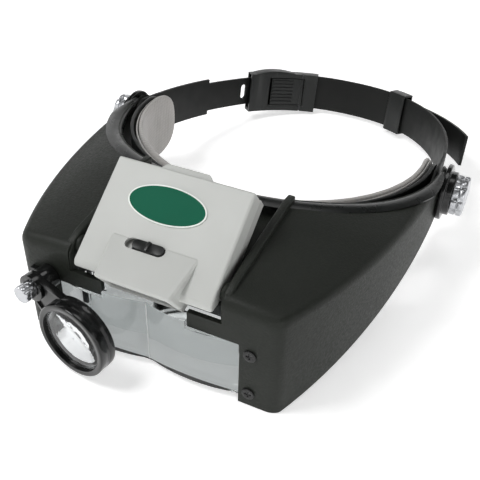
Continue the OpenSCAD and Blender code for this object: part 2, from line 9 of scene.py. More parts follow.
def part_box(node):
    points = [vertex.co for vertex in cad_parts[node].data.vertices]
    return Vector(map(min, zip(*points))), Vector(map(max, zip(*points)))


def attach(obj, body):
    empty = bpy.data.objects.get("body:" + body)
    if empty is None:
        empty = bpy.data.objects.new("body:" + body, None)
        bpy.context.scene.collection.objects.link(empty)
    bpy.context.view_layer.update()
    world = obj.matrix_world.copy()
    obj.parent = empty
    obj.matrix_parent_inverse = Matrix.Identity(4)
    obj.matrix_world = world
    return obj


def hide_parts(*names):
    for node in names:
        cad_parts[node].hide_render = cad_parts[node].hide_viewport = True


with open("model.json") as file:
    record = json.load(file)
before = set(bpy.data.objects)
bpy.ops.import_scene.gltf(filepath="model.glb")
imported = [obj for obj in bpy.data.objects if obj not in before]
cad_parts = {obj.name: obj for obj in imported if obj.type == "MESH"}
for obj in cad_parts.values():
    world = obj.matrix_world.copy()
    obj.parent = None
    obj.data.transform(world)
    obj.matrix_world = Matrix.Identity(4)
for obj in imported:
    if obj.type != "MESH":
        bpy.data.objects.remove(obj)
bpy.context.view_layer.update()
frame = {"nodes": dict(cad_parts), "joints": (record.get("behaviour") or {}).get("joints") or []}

MM = 0.001
NODES = frame["nodes"]
JOINTS = {joint["name"]: joint for joint in frame["joints"]}
SCENE = bpy.context.scene

# ---- places taken from the frame, in millimetres ----

PIVOT_Z = JOINTS["visor_tilt"]["pos_m"][2] / MM
LAMP_HINGE = Vector(JOINTS["lamp_tilt"]["pos_m"]) / MM
LAMP_BACK = Vector(JOINTS["battery_door_slide"]["axis"])
LAMP_SLOPE = math.atan2(LAMP_BACK.z, LAMP_BACK.y)
LOUPE_PIVOT = Vector(JOINTS["loupe_swing"]["pos_m"]) / MM
LOUPE_AXIS = Vector(JOINTS["loupe_swing"]["axis"])


# ---- camera, floor and lights ----

CAMERA_AT = (0.12216, -0.31265, 0.22390)
CAMERA_AZIMUTH, CAMERA_ELEVATION, CAMERA_ROLL, CAMERA_LENS = 24.68, 36.49, 1.69, 52.5
LIT_POINT = (0, -0.03, 0.03)
FLOOR_WIDE, FLOOR_Z = 4000, -0.4
SWEEP_REACH, SWEEP_TALL = 1900.0, 1500.0
PAPER_GLOW = 0.52
SURROUND_GLOW = 0.07


def place_camera(at, azimuth, elevation, roll, lens):
    """A camera that looks along azimuth, which is 0 along +Y, and down by elevation."""
    camera = bpy.data.objects.new("camera", bpy.data.cameras.new("camera"))
    SCENE.collection.objects.link(camera)
    turn = (Matrix.Rotation(math.radians(azimuth), 4, "Z")
            @ Matrix.Rotation(math.radians(90 - elevation), 4, "X")
            @ Matrix.Rotation(math.radians(roll), 4, "Z"))
    camera.matrix_world = Matrix.Translation(at) @ turn
    camera.data.lens = lens
    camera.data.sensor_width = 36.0
    camera.data.clip_start = 0.01
    SCENE.camera = camera


def area_light(name, at, towards, size, power):
    light = bpy.data.lights.new(name, "AREA")
    light.shape = "DISK"
    light.size = size
    light.energy = power
    lamp = bpy.data.objects.new(name, light)
    SCENE.collection.objects.link(lamp)
    lamp.location = at
    lamp.rotation_euler = (Vector(towards) - Vector(at)).to_track_quat("-Z", "Y").to_euler()


def new_sweep(reach, tall):
    """Pale wall round the stage, curving up from the floor, so no view ends in an edge."""
    rows = []
    for i in range(10):
        turn = math.radians(90 * i / 9)
        out, up = reach + tall * math.sin(turn) * 0.5, tall * (1 - math.cos(turn)) - 0.3
        rows.append([(out * math.cos(2 * math.pi * k / 48), out * math.sin(2 * math.pi * k / 48), up)
                     for k in range(48)])
    bm = bmesh.new()
    add_loft(bm, rows, caps=False)
    return new_piece("sweep", bm)


def studio():
    """The photograph's camera, a pale floor and wall that glow a little, and three soft lights."""
    place_camera(CAMERA_AT, CAMERA_AZIMUTH, CAMERA_ELEVATION, CAMERA_ROLL, CAMERA_LENS)
    area_light("key_light", (-0.40, -0.35, 0.80), LIT_POINT, 0.36, 4.1)
    area_light("fill_light", (0.60, -0.70, 0.35), LIT_POINT, 0.30, 0.7)
    area_light("top_light", (0.05, 0.15, 0.95), (0, 0.0, 0.03), 0.45, 1.1)
    SCENE.view_settings.view_transform = "Standard"
    world = bpy.data.worlds.new("surround")
    SCENE.world = world
    world.use_nodes = True
    backdrop = world.node_tree.nodes["Background"]
    backdrop.inputs["Color"].default_value = (1.0, 1.0, 1.0, 1.0)
    backdrop.inputs["Strength"].default_value = SURROUND_GLOW
    floor = grid_piece("floor", lambda u, v: (FLOOR_WIDE * (u - 0.5), FLOOR_WIDE * (v - 0.5), FLOOR_Z), 8, 8)
    sweep = new_sweep(SWEEP_REACH, SWEEP_TALL)
    paper = moulded("floor_paper", (0.90, 0.90, 0.90), 0.8, grain=(900, 0.02))
    shader = paper.node_tree.nodes["Principled BSDF"].inputs
    shader["Emission Color"].default_value = (1.0, 1.0, 1.0, 1.0)
    shader["Emission Strength"].default_value = PAPER_GLOW
    for stage in (floor, sweep):
        stage.data.materials.append(paper)


# ---- materials ----

class Finish:
    """A material's node tree, with the steps that the finishes share."""

    def __init__(self, name, colour, roughness, metallic=0.0):
        self.material = bpy.data.materials.new(name)
        self.material.use_nodes = True
        self.tree = self.material.node_tree
        self.shader = self.tree.nodes["Principled BSDF"]
        self.shader.inputs["Base Color"].default_value = (*colour, 1.0)
        self.shader.inputs["Roughness"].default_value = roughness
        self.shader.inputs["Metallic"].default_value = metallic
        self.normal = None
        self.place = self.tree.nodes.new("ShaderNodeTexCoord").outputs["Object"]

    def add(self, kind, links=None, **settings):
        node = self.tree.nodes.new("ShaderNode" + kind)
        for key, value in settings.items():
            setattr(node, key, value)
        for key, source in (links or {}).items():
            if isinstance(source, bpy.types.NodeSocket):
                self.tree.links.new(source, node.inputs[key])
            else:
                node.inputs[key].default_value = source
        return node

    def noise(self, scale, detail=3.0, stretch=None):
        place = self.place
        if stretch:
            place = self.add("Mapping", {"Vector": place, "Scale": stretch}).outputs["Vector"]
        return self.add("TexNoise", {"Vector": place, "Scale": scale, "Detail": detail}).outputs["Fac"]

    def remap(self, fac, low, high, start=0.3, end=0.7):
        return self.add("MapRange", {"Value": fac, "From Min": start, "From Max": end,
                                     "To Min": low, "To Max": high}).outputs["Result"]

    def tint(self, fac, colour):
        """Mixes colour over what is there, by fac."""
        base = self.shader.inputs["Base Color"]
        mix = self.add("Mix", data_type="RGBA")
        self.tree.links.new(fac, mix.inputs[0])
        if base.links:
            self.tree.links.new(base.links[0].from_socket, mix.inputs[6])
        else:
            mix.inputs[6].default_value = base.default_value
        mix.inputs[7].default_value = (*colour, 1.0)
        self.tree.links.new(mix.outputs[2], base)

    def vary_roughness(self, scale, low, high):
        self.tree.links.new(self.remap(self.noise(scale), low, high), self.shader.inputs["Roughness"])

    def bump(self, height, strength, distance):
        links = {"Height": height, "Strength": strength, "Distance": distance}
        if self.normal:
            links["Normal"] = self.normal
        self.normal = self.add("Bump", links).outputs["Normal"]
        self.tree.links.new(self.normal, self.shader.inputs["Normal"])

    def worn_edges(self, colour, amount):
        """Lightens edges a little, unevenly, where the rounded normal leaves the true one."""
        rounded = self.add("Bevel", {"Radius": 0.0005}, samples=4).outputs["Normal"]
        true = self.add("NewGeometry").outputs["Normal"]
        match = self.add("VectorMath", {0: rounded, 1: true}, operation="DOT_PRODUCT").outputs["Value"]
        edge = self.remap(match, amount, 0.0, 0.80, 0.985)
        patchy = self.remap(self.noise(260), 0.3, 1.0)
        fac = self.add("Math", {0: edge, 1: patchy}, operation="MULTIPLY").outputs["Value"]
        self.tint(fac, colour)


def lighter(colour, factor):
    return tuple(min(1.0, channel * factor) for channel in colour)


def moulded(name, colour, roughness, grain=(2600, 0.12), coat=0.0, spread=0.06, wear=0.35,
            shade=1.18, waves=0.05, specular=0.35):
    """Moulded plastic: fine grain, cloudy gloss, faint shade changes and worn edges."""
    f = Finish(name, colour, roughness)
    f.tint(f.remap(f.noise(55), 0.0, 1.0), lighter(colour, shade))
    if wear:
        f.worn_edges(lighter(colour, 2.2), wear)
    f.vary_roughness(140, max(0.02, roughness - spread), roughness + spread)
    f.bump(f.noise(grain[0], 2.0), grain[1], 0.0002)
    f.bump(f.noise(38, 1.0), waves, 0.0008)
    f.shader.inputs["Specular IOR Level"].default_value = specular
    f.shader.inputs["Coat Weight"].default_value = coat
    f.shader.inputs["Coat Roughness"].default_value = 0.12
    return f.material


def pebbled(name, colour, roughness):
    """Spark-eroded black plastic with a fine pebble grain and slightly worn edges."""
    f = Finish(name, colour, roughness)
    f.tint(f.remap(f.noise(35), 0.0, 0.8), lighter(colour, 1.25))
    f.worn_edges(lighter(colour, 2.5), 0.3)
    cells = f.add("TexVoronoi", {"Vector": f.place, "Scale": 1500.0}).outputs["Distance"]
    f.vary_roughness(900, roughness - 0.1, roughness + 0.08)
    f.bump(cells, 0.30, 0.00025)
    f.bump(f.noise(2600, 2.0), 0.12, 0.0002)
    f.shader.inputs["Specular IOR Level"].default_value = 0.20
    return f.material


def plated(name, colour, roughness, brushed=0.0):
    """Bright metal with faint haze, and with brush lines where brushed is over 0."""
    f = Finish(name, colour, roughness, metallic=1.0)
    f.tint(f.remap(f.noise(90), 0.0, 0.6), lighter(colour, 0.82))
    f.vary_roughness(60, roughness * 0.8, roughness * 1.3)
    f.bump(f.noise(420, 3.0, stretch=(1.0, 1.0, 1.0 + 8.0 * brushed)), 0.02 + 0.1 * brushed, 0.0001)
    return f.material


def clear(name, tint, roughness=0.03, ior=1.3, passes=1.0):
    """Polished clear acrylic, with faint haze and moulding waves."""
    f = Finish(name, tint, roughness)
    f.shader.inputs["Transmission Weight"].default_value = passes
    f.shader.inputs["IOR"].default_value = ior
    f.vary_roughness(120, roughness * 0.4, roughness * 2.2)
    f.bump(f.noise(22, 1.0), 0.03, 0.0006)
    return f.material


def cloth(name, colour, thread):
    """Knitted cloth: crossed ribs of thread width in metres, with fuzz and sheen."""
    f = Finish(name, colour, 0.92)
    f.tint(f.remap(f.noise(70, 4.0), 0.0, 0.9), lighter(colour, 0.80))
    f.tint(f.remap(f.noise(1900, 2.0), 0.0, 0.5), lighter(colour, 1.25))
    for turn in (0.0, math.pi / 2):
        place = f.add("Mapping", {"Vector": f.place, "Rotation": (turn, 0.0, 0.35)}).outputs["Vector"]
        ribs = f.add("TexWave", {"Vector": place, "Scale": 1 / (thread * 6.3), "Distortion": 1.4,
                                 "Detail": 2.0}, bands_direction="Z").outputs["Fac"]
        f.bump(ribs, 0.35, 0.0003)
    f.bump(f.noise(240, 4.0), 0.25, 0.0008)
    f.shader.inputs["Sheen Weight"].default_value = 0.35
    f.shader.inputs["Sheen Roughness"].default_value = 0.5
    return f.material


# ---- mesh helpers ----

def new_piece(name, bm, smooth_below=35):
    """Makes an object from a bmesh, smooth except at edges sharper than smooth_below degrees."""
    bmesh.ops.recalc_face_normals(bm, faces=bm.faces)
    mesh = bpy.data.meshes.new(name)
    bm.to_mesh(mesh)
    bm.free()
    return wrap_mesh(name, mesh, smooth_below)


def wrap_mesh(name, mesh, smooth_below=35):
    mesh.shade_smooth()
    mesh.set_sharp_from_angle(angle=math.radians(smooth_below))
    piece = bpy.data.objects.new(name, mesh)
    SCENE.collection.objects.link(piece)
    return piece


def apply_modifiers(piece, smooth_below=35):
    """Turns what the modifiers make into the piece's own mesh."""
    view = bpy.context.evaluated_depsgraph_get()
    mesh = bpy.data.meshes.new_from_object(piece.evaluated_get(view))
    piece.modifiers.clear()
    old = piece.data
    piece.data = mesh
    bpy.data.meshes.remove(old)
    mesh.shade_smooth()
    mesh.set_sharp_from_angle(angle=math.radians(smooth_below))
    return piece


def add_loft(bm, rows, wrap=True, caps=True):
    """Joins rows of points, in millimetres, into a surface."""
    grid = [[bm.verts.new(Vector(p) * MM) for p in row] for row in rows]
    count = len(rows[0])
    for low, high in zip(grid, grid[1:]):
        for i in range(count if wrap else count - 1):
            j = (i + 1) % count
            bm.faces.new((low[i], low[j], high[j], high[i]))
    if caps:
        bm.faces.new(grid[0])
        bm.faces.new(list(reversed(grid[-1])))


def grid_piece(name, point, columns, rows):
    bm = bmesh.new()
    add_loft(bm, [[point(i / columns, j / rows) for i in range(columns + 1)] for j in range(rows + 1)],
             wrap=False, caps=False)
    return new_piece(name, bm)


def prism(bm, outline, low, high, place):
    """Extrudes a flat outline between two heights, with place mapping (a, b, height) to millimetres."""
    add_loft(bm, [[place(a, b, low) for a, b in outline], [place(a, b, high) for a, b in outline]])


def upright(a, b, height):
    return a, b, height


def sideways(a, b, height):
    return height, a, b


def arc(x, y, r, start, end, count):
    return [(x + r * math.cos(math.radians(start + (end - start) * i / count)),
             y + r * math.sin(math.radians(start + (end - start) * i / count))) for i in range(count + 1)]


def rounded_box(x0, x1, y0, y1, r, count=4):
    return (arc(x1 - r, y1 - r, r, 0, 90, count) + arc(x0 + r, y1 - r, r, 90, 180, count)
            + arc(x0 + r, y0 + r, r, 180, 270, count) + arc(x1 - r, y0 + r, r, 270, 360, count))


def tidy(bm, flat=0.6):
    bmesh.ops.remove_doubles(bm, verts=bm.verts, dist=2e-6)
    bmesh.ops.dissolve_limit(bm, angle_limit=math.radians(flat), verts=bm.verts, edges=bm.edges,
                             delimit={"NORMAL"})


def weigh_normals(piece):
    """Lets large faces set the shading of the edges beside them."""
    weighted = piece.modifiers.new("weighted", "WEIGHTED_NORMAL")
    weighted.keep_sharp = True


def bevel(piece, width, angle=32, segments=3):
    """Rounds a piece's edges by width in millimetres."""
    rounding = piece.modifiers.new("rounding", "BEVEL")
    rounding.width = width * MM
    rounding.segments = segments
    rounding.limit_method = "ANGLE"
    rounding.angle_limit = math.radians(angle)
    rounding.use_clamp_overlap = True
    rounding.miter_outer = "MITER_ARC"
    weigh_normals(piece)
    return apply_modifiers(piece, 50)


def even_shading(piece, sharp_above=28):
    """Shades flat faces flat beside rounded edges, after cuts have split them."""
    piece.data.shade_smooth()
    piece.data.set_sharp_from_angle(angle=math.radians(sharp_above))
    weigh_normals(piece)
    view = bpy.context.evaluated_depsgraph_get()
    mesh = bpy.data.meshes.new_from_object(piece.evaluated_get(view), preserve_all_data_layers=True,
                                           depsgraph=view)
    piece.modifiers.clear()
    piece.data = mesh


def settle(piece, body, slot, material, *replaced):
    """Gives a piece its material and body, and hides the CAD nodes that it stands for. The slot is not used.
    """
    piece.data.materials.clear()
    piece.data.materials.append(material)
    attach(piece, body)
    if replaced:
        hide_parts(*replaced)
    return piece


def softened(node, body, slot, material, width, angle=32):
    """The CAD node's own shape with its edges rounded by width in millimetres."""
    bm = bmesh.new()
    bm.from_mesh(NODES[node].data)
    tidy(bm)
    piece = bevel(new_piece(node + "_moulding", bm), width, angle)
    return settle(piece, body, slot, material, node)


def combine(piece, operation, *others):
    """Joins solids to a piece or cuts them out of it, then deletes them."""
    for other in others:
        step = piece.modifiers.new("combine", "BOOLEAN")
        step.operation = operation
        step.solver = "EXACT"
        step.object = other
    apply_modifiers(piece)
    for other in others:
        bpy.data.objects.remove(other)


def solid(name, outline, low, high, place):
    bm = bmesh.new()
    prism(bm, outline, low, high, place)
    return new_piece(name, bm)


def paint(node, material):
    """Gives a CAD node that stays visible a better material."""
    mesh = NODES[node].data
    mesh.materials.clear()
    mesh.materials.append(material)


# ---- the visor's shell ----

VISOR_LOW, VISOR_HIGH = (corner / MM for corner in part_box("visor_shell"))
FRONT = -VISOR_LOW.y
SIDE = VISOR_HIGH.x
SIDE_LONG = 186.0         # half length of the ellipse that the sides follow
CORNER_R = 8.0
CORNER_X, CORNER_Y = 55.2, CORNER_R - FRONT
# the roof's height along its middle, as (y, z)
ROOF = ((-FRONT, 52.0), (-104.0, 56.8), (-79.0, 60.0), (-60.0, 59.5), (-30.0, 55.8), (-8.0, 51.4))
CREASE = 50.3             # height where the roof meets the sides
EAR = 13.0                # radius of the round ends at the temples
LIP = 79.0                # how far the brow opening reaches forward of the temples
WALL = 2.2
FRONT_R = 4.6             # rounding between the front and the roof
FOOT_Y = -135.6           # back of the flat feet under the front posts
SIDE_SLOPE = (PIVOT_Z - EAR * 0.98) / (-FOOT_Y - EAR * 0.2)


def interpolate(table, at):
    for (a, low), (b, high) in zip(table, table[1:]):
        if at <= b:
            t = max(0.0, (at - a) / (b - a))
            return low + (high - low) * t
    return table[-1][1]


def half_width(y, inset):
    side = (SIDE - inset) * math.sqrt(max(0.0, 1 - (y / (SIDE_LONG - inset)) ** 2))
    if y < CORNER_Y:
        r = CORNER_R - inset
        side = min(side, CORNER_X + math.sqrt(max(0.0, r * r - (y - CORNER_Y) ** 2)))
    return side


def shell_section(y, inset, edge_r):
    """Closed section of the visor at y: up the left side, over the roof and down the right."""
    w = half_width(y, inset)
    middle = interpolate(ROOF, y) - inset
    crease = CREASE - inset
    bottom = 0.0
    if y > FOOT_Y:
        bottom = (y - FOOT_Y) * SIDE_SLOPE
    reach = max(0.0, FRONT_R - (y + FRONT - inset))
    drop = FRONT_R - math.sqrt(max(0.0, FRONT_R ** 2 - reach ** 2))
    middle -= drop
    crease -= drop
    if y > -8:
        reach = math.sqrt(max(0.3, EAR ** 2 - y * y))
        middle = crease = PIVOT_Z + reach - inset * 0.4
        bottom = PIVOT_Z - reach
    if inset:
        bottom = -3.0
        if y > -8:
            middle = crease = PIVOT_Z + EAR + 8
    edge_r = min(edge_r, (crease - bottom) * 0.4)
    rise = middle - crease
    half = [(w, bottom + (crease - edge_r - bottom) * i / 6) for i in range(6)]
    for i in range(7):
        turn = math.radians(90 * i / 6)
        half.append((w - edge_r * (1 - math.cos(turn)), crease - edge_r * (1 - math.sin(turn))))
    flat = w - edge_r
    half += [(flat * (1 - i / 14), crease + rise * (1 - (1 - i / 14) ** 2) ** 0.8) for i in range(1, 15)]
    ring = [(-x, y, z) for x, z in half] + [(x, y, z) for x, z in reversed(half[:-1])]
    return ring


def visor_body(name, inset, last):
    front = -FRONT + inset
    stations = [front + (CORNER_R - inset) * (1 - math.cos(math.radians(90 * i / 9))) for i in range(10)]
    while stations[-1] < last - 6.5:
        stations.append(stations[-1] + 6)
    stations.append(last)
    bm = bmesh.new()
    add_loft(bm, [shell_section(y, inset, 3.8 if inset == 0 else 1.6) for y in stations])
    return new_piece(name, bm)


def ellipse_front(a, b, back, count=40):
    return [(-a, back)] + arc_ellipse(a, b, count) + [(a, back)]


def arc_ellipse(a, b, count):
    return [(a * math.cos(math.radians(180 + 180 * i / count)),
             b * math.sin(math.radians(180 + 180 * i / count))) for i in range(count + 1)]


BAY = 34.2                # half width of the bay for the lamp
LEDGE = 39.5              # height of the ledge in front of the tray
TRAY_FRONT, TRAY_BACK = -126, -74
TRAY_RISE = math.tan(math.radians(15.6))
TRAY_THICK = 1.8
WINDOW = 43               # half width of the opening in front of the lens
EYE_R = 4.8               # outer radius of the inner lens's hinge eyes
BROW_A = 87.0             # half width of the roof's rear lip
HINGE_Y, HINGE_Z = LAMP_HINGE.y, LAMP_HINGE.z


def tray_z(y):
    return LEDGE + max(0.0, y - TRAY_FRONT) * TRAY_RISE


def visor_shell(material):
    shell = visor_body("visor_shell_moulding", 0.0, EAR - 0.2)
    bay_side = [(-FRONT - 3, LEDGE), (TRAY_FRONT, LEDGE), (-60, tray_z(-60)), (-60, 90), (-FRONT - 3, 90)]
    cutters = [
        visor_body("inside", WALL, EAR + 8),
        solid("brow_space", ellipse_front(86.4, LIP, 30), 38, 75, upright),
        solid("bay", bay_side, -BAY - 1, BAY + 1, sideways),
        solid("window", rounded_box(-WINDOW, WINDOW, -6, 32, 0.6), -FRONT - 2, -FRONT + WALL + 2,
              lambda a, b, height: (a, height, b)),
        solid("notch", rounded_box(-20, 20, 28, 62, 0.8), -FRONT - 2, TRAY_FRONT,
              lambda a, b, height: (a, height, b)),
    ]
    combine(shell, "DIFFERENCE", *cutters)
    bm = bmesh.new()
    bm.from_mesh(shell.data)
    tidy(bm, 0.05)
    bmesh.ops.recalc_face_normals(bm, faces=bm.faces)
    bm.to_mesh(shell.data)
    bm.free()
    shell.data.shade_smooth()
    shell.data.set_sharp_from_angle(angle=math.radians(40))
    return settle(shell, "visor", "visor_black", material, "visor_shell")


def lamp_bay(material):
    """Side walls with a raised rim, the tray under the lamp, and the front ledges."""
    bm = bmesh.new()
    for side in (-1, 1):
        wall = [(-FRONT + 0.7, LEDGE - 2), (TRAY_FRONT, LEDGE - 2), (-72.5, tray_z(TRAY_BACK) - 1.5)]
        wall += [(-72.5, 60.9), (-79, 61.4), (-104, 58.0), (-128, 54.3), (-133.5, 52.4), (-FRONT + 0.7, 48.5)]
        low, high = sorted((side * BAY, side * (BAY + 3.4)))
        prism(bm, wall, low, high, sideways)
    floor = [(-128, LEDGE), (-128, LEDGE - TRAY_THICK), (TRAY_FRONT, LEDGE - TRAY_THICK),
             (TRAY_BACK, tray_z(TRAY_BACK) - TRAY_THICK), (TRAY_BACK, tray_z(TRAY_BACK)), (TRAY_FRONT, LEDGE)]
    prism(bm, floor, -BAY - 0.5, BAY + 0.5, sideways)
    for side in (-1, 1):
        rows = []
        for along, r in ((34.6, 4.2), (33.0, 4.2), (32.3, 3.9), (31.95, 3.2), (31.9, 1.7)):
            rows.append([(side * along, y, z) for y, z in arc(HINGE_Y, HINGE_Z, r, 0, 337.5, 15)])
        add_loft(bm, rows)
    piece = new_piece("lamp_bay", bm)
    return settle(bevel(piece, 1.1, 32, 4), "visor", "visor_black", material)


def inner_lens_ears(material):
    """Blocks under the roof, with the eyes that the inner lens's frame hangs from."""
    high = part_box("inner_lens_carrier")[1] / MM
    flip = Vector(JOINTS["inner_lens_flip"]["pos_m"]) / MM
    bm = bmesh.new()
    for side in (-1, 1):
        blocks = ((BAY + 1.5, high.x + 0.2, 41.0, 49.5), (high.x - 2.4, high.x + 0.2, flip.z - 4, 41.5))
        for x0, x1, z0, z1 in blocks:
            ends = sorted((side * x0, side * x1))
            prism(bm, rounded_box(flip.y - EYE_R, flip.y + EYE_R, z0, z1, 0.6), *ends, sideways)
        ends = sorted((side * (high.x - 2.5), side * (high.x + 0.1)))
        prism(bm, arc(flip.y, flip.z, EYE_R, 0, 337.5, 15), *ends, sideways)
    return settle(bevel(new_piece("inner_lens_ears", bm), 0.25), "visor", "visor_black", material)


def loupe_ring(material):
    """The loupe's ring, turned smooth: a straight barrel with rounded rims and a shoulder for the glass."""
    low, high = (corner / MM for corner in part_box("loupe_lens"))
    centre = (low + high) / 2
    centre -= LOUPE_AXIS * (centre - LOUPE_PIVOT).dot(LOUPE_AXIS)
    side = Vector((0, 0, 1))
    other = LOUPE_AXIS.cross(side)
    profile = [(15.35, -0.05), (16.9, -0.05)] + [(16.95 + a, 0.55 + b) for a, b in arc(0, 0, 0.6, -90, 0, 4)]
    profile += [(17.55, 3.2), (17.3, 3.6), (17.3, 4.2), (17.55, 4.6)]
    profile += [(16.85 + a, 7.35 + b) for a, b in arc(0, 0, 0.7, 0, 90, 5)]
    profile += [(15.5, 8.05), (15.05, 7.75), (14.85, 7.2), (14.85, 6.35), (15.35, 6.3)]
    rows = []
    for i in range(96):
        turn = 2 * math.pi * i / 96
        out = side * math.cos(turn) + other * math.sin(turn)
        rows.append([centre + out * r + LOUPE_AXIS * forward for r, forward in profile])
    rows.append(rows[0])
    bm = bmesh.new()
    add_loft(bm, rows, caps=False)
    bmesh.ops.remove_doubles(bm, verts=bm.verts, dist=1e-7)
    return settle(new_piece("loupe_ring", bm, 40), "loupe", "washer_black", material)


def brow_lip(material):
    """Rolled edge along the roof's rear lip."""
    rows = []
    for i in range(73):
        turn = math.radians(182.5 + 175 * i / 72)
        x, y = BROW_A * math.cos(turn), (LIP + 0.6) * math.sin(turn)
        w = half_width(y, 0) - 3.0
        middle = interpolate(ROOF, y)
        z = CREASE + (middle - CREASE) * max(0.0, 1 - (x / w) ** 2) ** 0.8
        out = Vector((x / BROW_A ** 2, y / LIP ** 2, 0)).normalized()
        section = [(-2.2, -2.6), (-1.2, -0.9), (0.4, 0.35), (2.2, 0.7), (4.6, 0.55), (6.6, -0.35),
                   (6.2, -1.5), (1.6, -1.9), (-0.4, -3.6), (-1.9, -3.6)]
        fade = min(1.0, min(i, 72 - i) / 6)
        rows.append([(x + out.x * a * (0.3 + 0.7 * fade), y + out.y * a * (0.3 + 0.7 * fade),
                      z - 0.25 + b * (0.4 + 0.6 * fade)) for a, b in section])
    bm = bmesh.new()
    add_loft(bm, rows)
    return settle(new_piece("brow_lip", bm, 50), "visor", "visor_black", material)


# ---- headband ----

PAD_DIP = 2.0             # how far the pad's upper edge dips at the front

def brow_path(a, b, back, count=72):
    """Points along the brow curve with their outward directions, from left to right."""
    points = []
    straight = 8
    for i in range(straight):
        points.append(((-a, back * (1 - i / straight)), (-1.0, 0.0)))
    for i in range(count + 1):
        turn = math.radians(180 + 180 * i / count)
        x, y = a * math.cos(turn), b * math.sin(turn)
        out = Vector((x / a ** 2, y / b ** 2)).normalized()
        points.append(((x, y), (out.x, out.y)))
    for i in range(1, straight + 1):
        points.append(((a, back * i / straight), (1.0, 0.0)))
    return points


def pad_layer(name, a, b, depth_side, depth_front, tall, middle_z, back, crown):
    """A crowned strip of foam that hugs the inside of the brow curve and is round at its ends."""
    end_r = tall / 2
    rows = []
    for (x, y), (ox, oy) in brow_path(a, b, back):
        past = max(0.0, y - (back - end_r * 0.98))
        high = math.sqrt(max(0.02, 1 - (past / end_r) ** 2)) * tall / 2
        front = max(0.0, -oy)
        dip = PAD_DIP * front ** 2
        depth = depth_side + (depth_front - depth_side) * front ** 1.5
        depth *= min(1.0, 0.25 + high / (tall * 0.3))
        ring = []
        for k in range(28):
            turn = 2 * math.pi * k / 28
            c, s = math.cos(turn), math.sin(turn)
            inward = 0.5 - 0.5 * math.copysign(abs(c) ** 0.35, c)
            up = math.copysign(abs(s) ** 0.45, s)
            swell = 1 + crown * (1 - up * up) * inward
            ripple = 0.12 * math.sin(y * 0.55 + x * 0.31) * inward
            d = depth * inward * swell + ripple
            ring.append((x - ox * d, y - oy * d, middle_z + up * high - dip * max(0.0, up)))
        rows.append(ring)
    bm = bmesh.new()
    add_loft(bm, rows)
    piece = new_piece(name, bm, 60)
    smooth = piece.modifiers.new("smooth", "SUBSURF")
    smooth.levels = smooth.render_levels = 1
    return apply_modifiers(piece, 60)


def brow_pad(cloth_material, foam_material):
    low, high = (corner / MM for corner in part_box("brow_pad"))
    middle = (low.z + high.z) / 2
    tall = high.z - low.z
    a, b, back = high.x, -low.y, high.y
    backing = pad_layer("brow_pad_backing", a - 0.1, b - 0.1, depth_side=0.9, depth_front=1.5,
                        tall=tall - 1.4, middle_z=middle, back=back - 0.7, crown=0.0)
    settle(backing, "headband", "pad_grey", foam_material)
    cushion = pad_layer("brow_pad_cushion", a - 1.2, b - 1.9, depth_side=2.3, depth_front=4.2,
                        tall=tall, middle_z=middle, back=back, crown=0.14)
    settle(cushion, "headband", "pad_grey", cloth_material, "brow_pad")


# ---- knobs ----

TEMPLE_KNOB_R, TEMPLE_FLUTES = 10.0, 9
LOUPE_KNOB_DEPTH, LOUPE_KNOB_AT, LOUPE_FLUTES = 4.8, 5.2, 8

def lathe_knob(name, r, depth, flutes, base, axis, material, body, slot, node):
    """A fluted knob with two rows of flutes, a waist groove, a rounded rim and a dished face."""
    # how far along the knob, the radius there, and how deep the flutes cut
    profile = [(0.0, r * 0.80, 0.0), (0.0, r * 0.96, 0.3), (0.03, r, 1.0), (0.40, r, 1.0),
               (0.44, r * 0.985, 0.6), (0.46, r * 0.90, 0.0), (0.52, r * 0.90, 0.0),
               (0.54, r * 0.985, 0.6), (0.58, r, 1.0),
               (0.86, r, 1.0), (0.94, r * 0.97, 0.7), (0.99, r * 0.90, 0.2), (1.0, r * 0.80, 0.0),
               (0.97, r * 0.70, 0.0), (0.95, r * 0.45, 0.0), (0.955, r * 0.2, 0.0), (0.96, r * 0.04, 0.0)]
    side = axis.orthogonal().normalized()
    other = axis.cross(side)
    steps = flutes * 10
    rows = []
    for along, radius, bite in profile:
        row = []
        for i in range(steps):
            turn = 2 * math.pi * i / steps
            groove = max(0.0, math.cos(turn * flutes)) ** 1.2
            reach = radius - bite * 0.11 * r * groove
            out = side * math.cos(turn) + other * math.sin(turn)
            row.append(base + axis * (along * depth) + out * reach)
        rows.append(row)
    bm = bmesh.new()
    add_loft(bm, rows)
    return settle(new_piece(name, bm, 50), body, slot, material, node)


# ---- lamp details ----

BOX_TOP = 5.0             # top of the lamp's box, in the lamp's frame
BOX_WALL = 1.3
WEDGE_BACK = 8.5          # where the raised cover meets the top
WEDGE_LONG, WEDGE_RISE = 20.5, 5.8
WEDGE_SLOPE = math.atan(WEDGE_RISE / WEDGE_LONG)


def in_lamp(x, y, z):
    """From the lamp's own frame, with its hinge at the origin, to the row frame, in millimetres."""
    c, s = math.cos(LAMP_SLOPE), math.sin(LAMP_SLOPE)
    return (LAMP_HINGE.x + x, LAMP_HINGE.y + y * c - z * s, LAMP_HINGE.z + y * s + z * c)


def lamp_solid(name, rows, round_by):
    """A solid in the lamp's frame, lofted between rows of points, with its edges rounded."""
    bm = bmesh.new()
    add_loft(bm, [[in_lamp(*p) for p in row] for row in rows])
    piece = new_piece(name, bm)
    if round_by:
        bevel(piece, round_by, 25, 4)
    return piece


def box_rows(outline, half):
    return [[(-half, y, z) for y, z in outline], [(half, y, z) for y, z in outline]]


